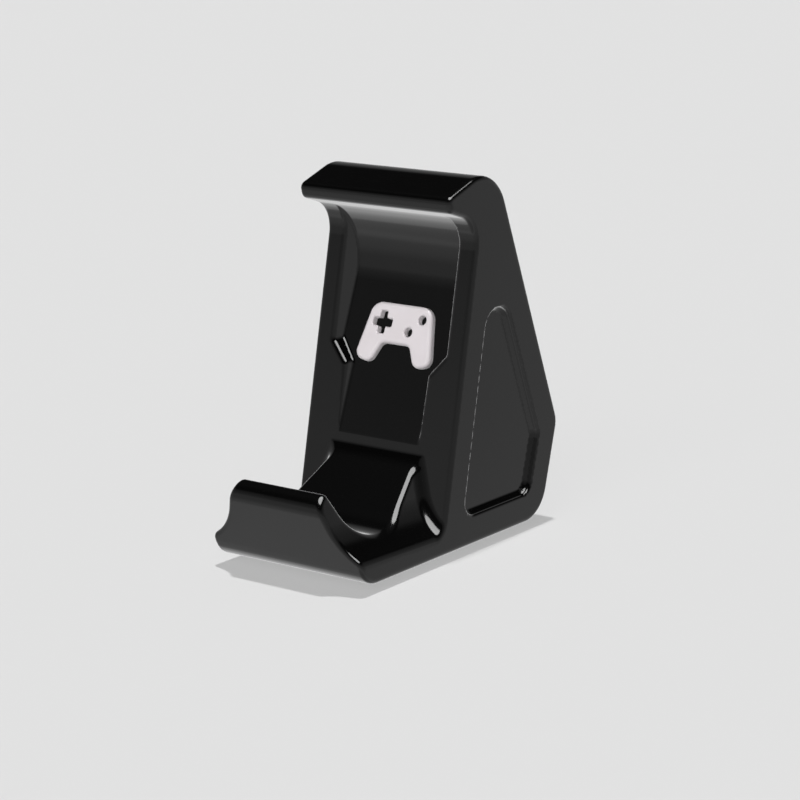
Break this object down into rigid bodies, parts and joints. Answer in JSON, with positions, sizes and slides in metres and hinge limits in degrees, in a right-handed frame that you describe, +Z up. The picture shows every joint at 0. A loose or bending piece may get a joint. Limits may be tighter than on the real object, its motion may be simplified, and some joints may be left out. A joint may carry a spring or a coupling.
{
  "type": "game controller wall mount",
  "caption": "Holder for a game controller: a flat-footed body with a scooped front trough, a leaning backrest with a sunk channel, an overhanging top hook and a raised pad emblem.",
  "frame": {"origin": "centre of the holder's width and depth, on the plane of its flat base", "axes": "+Z up from the base, -Y out through the lip where the controller goes in, +X across the width to the right of someone facing the lip; the holder is mirrored about X = 0"},
  "size_m": [0.05, 0.098, 0.1015],
  "materials": {
    "holder_body": "glossy black",
    "emblem": "satin white"
  },
  "bodies": {
    "root": {"holder_body": "holder_body", "emblem": "emblem"}
  },
  "joints": []
}
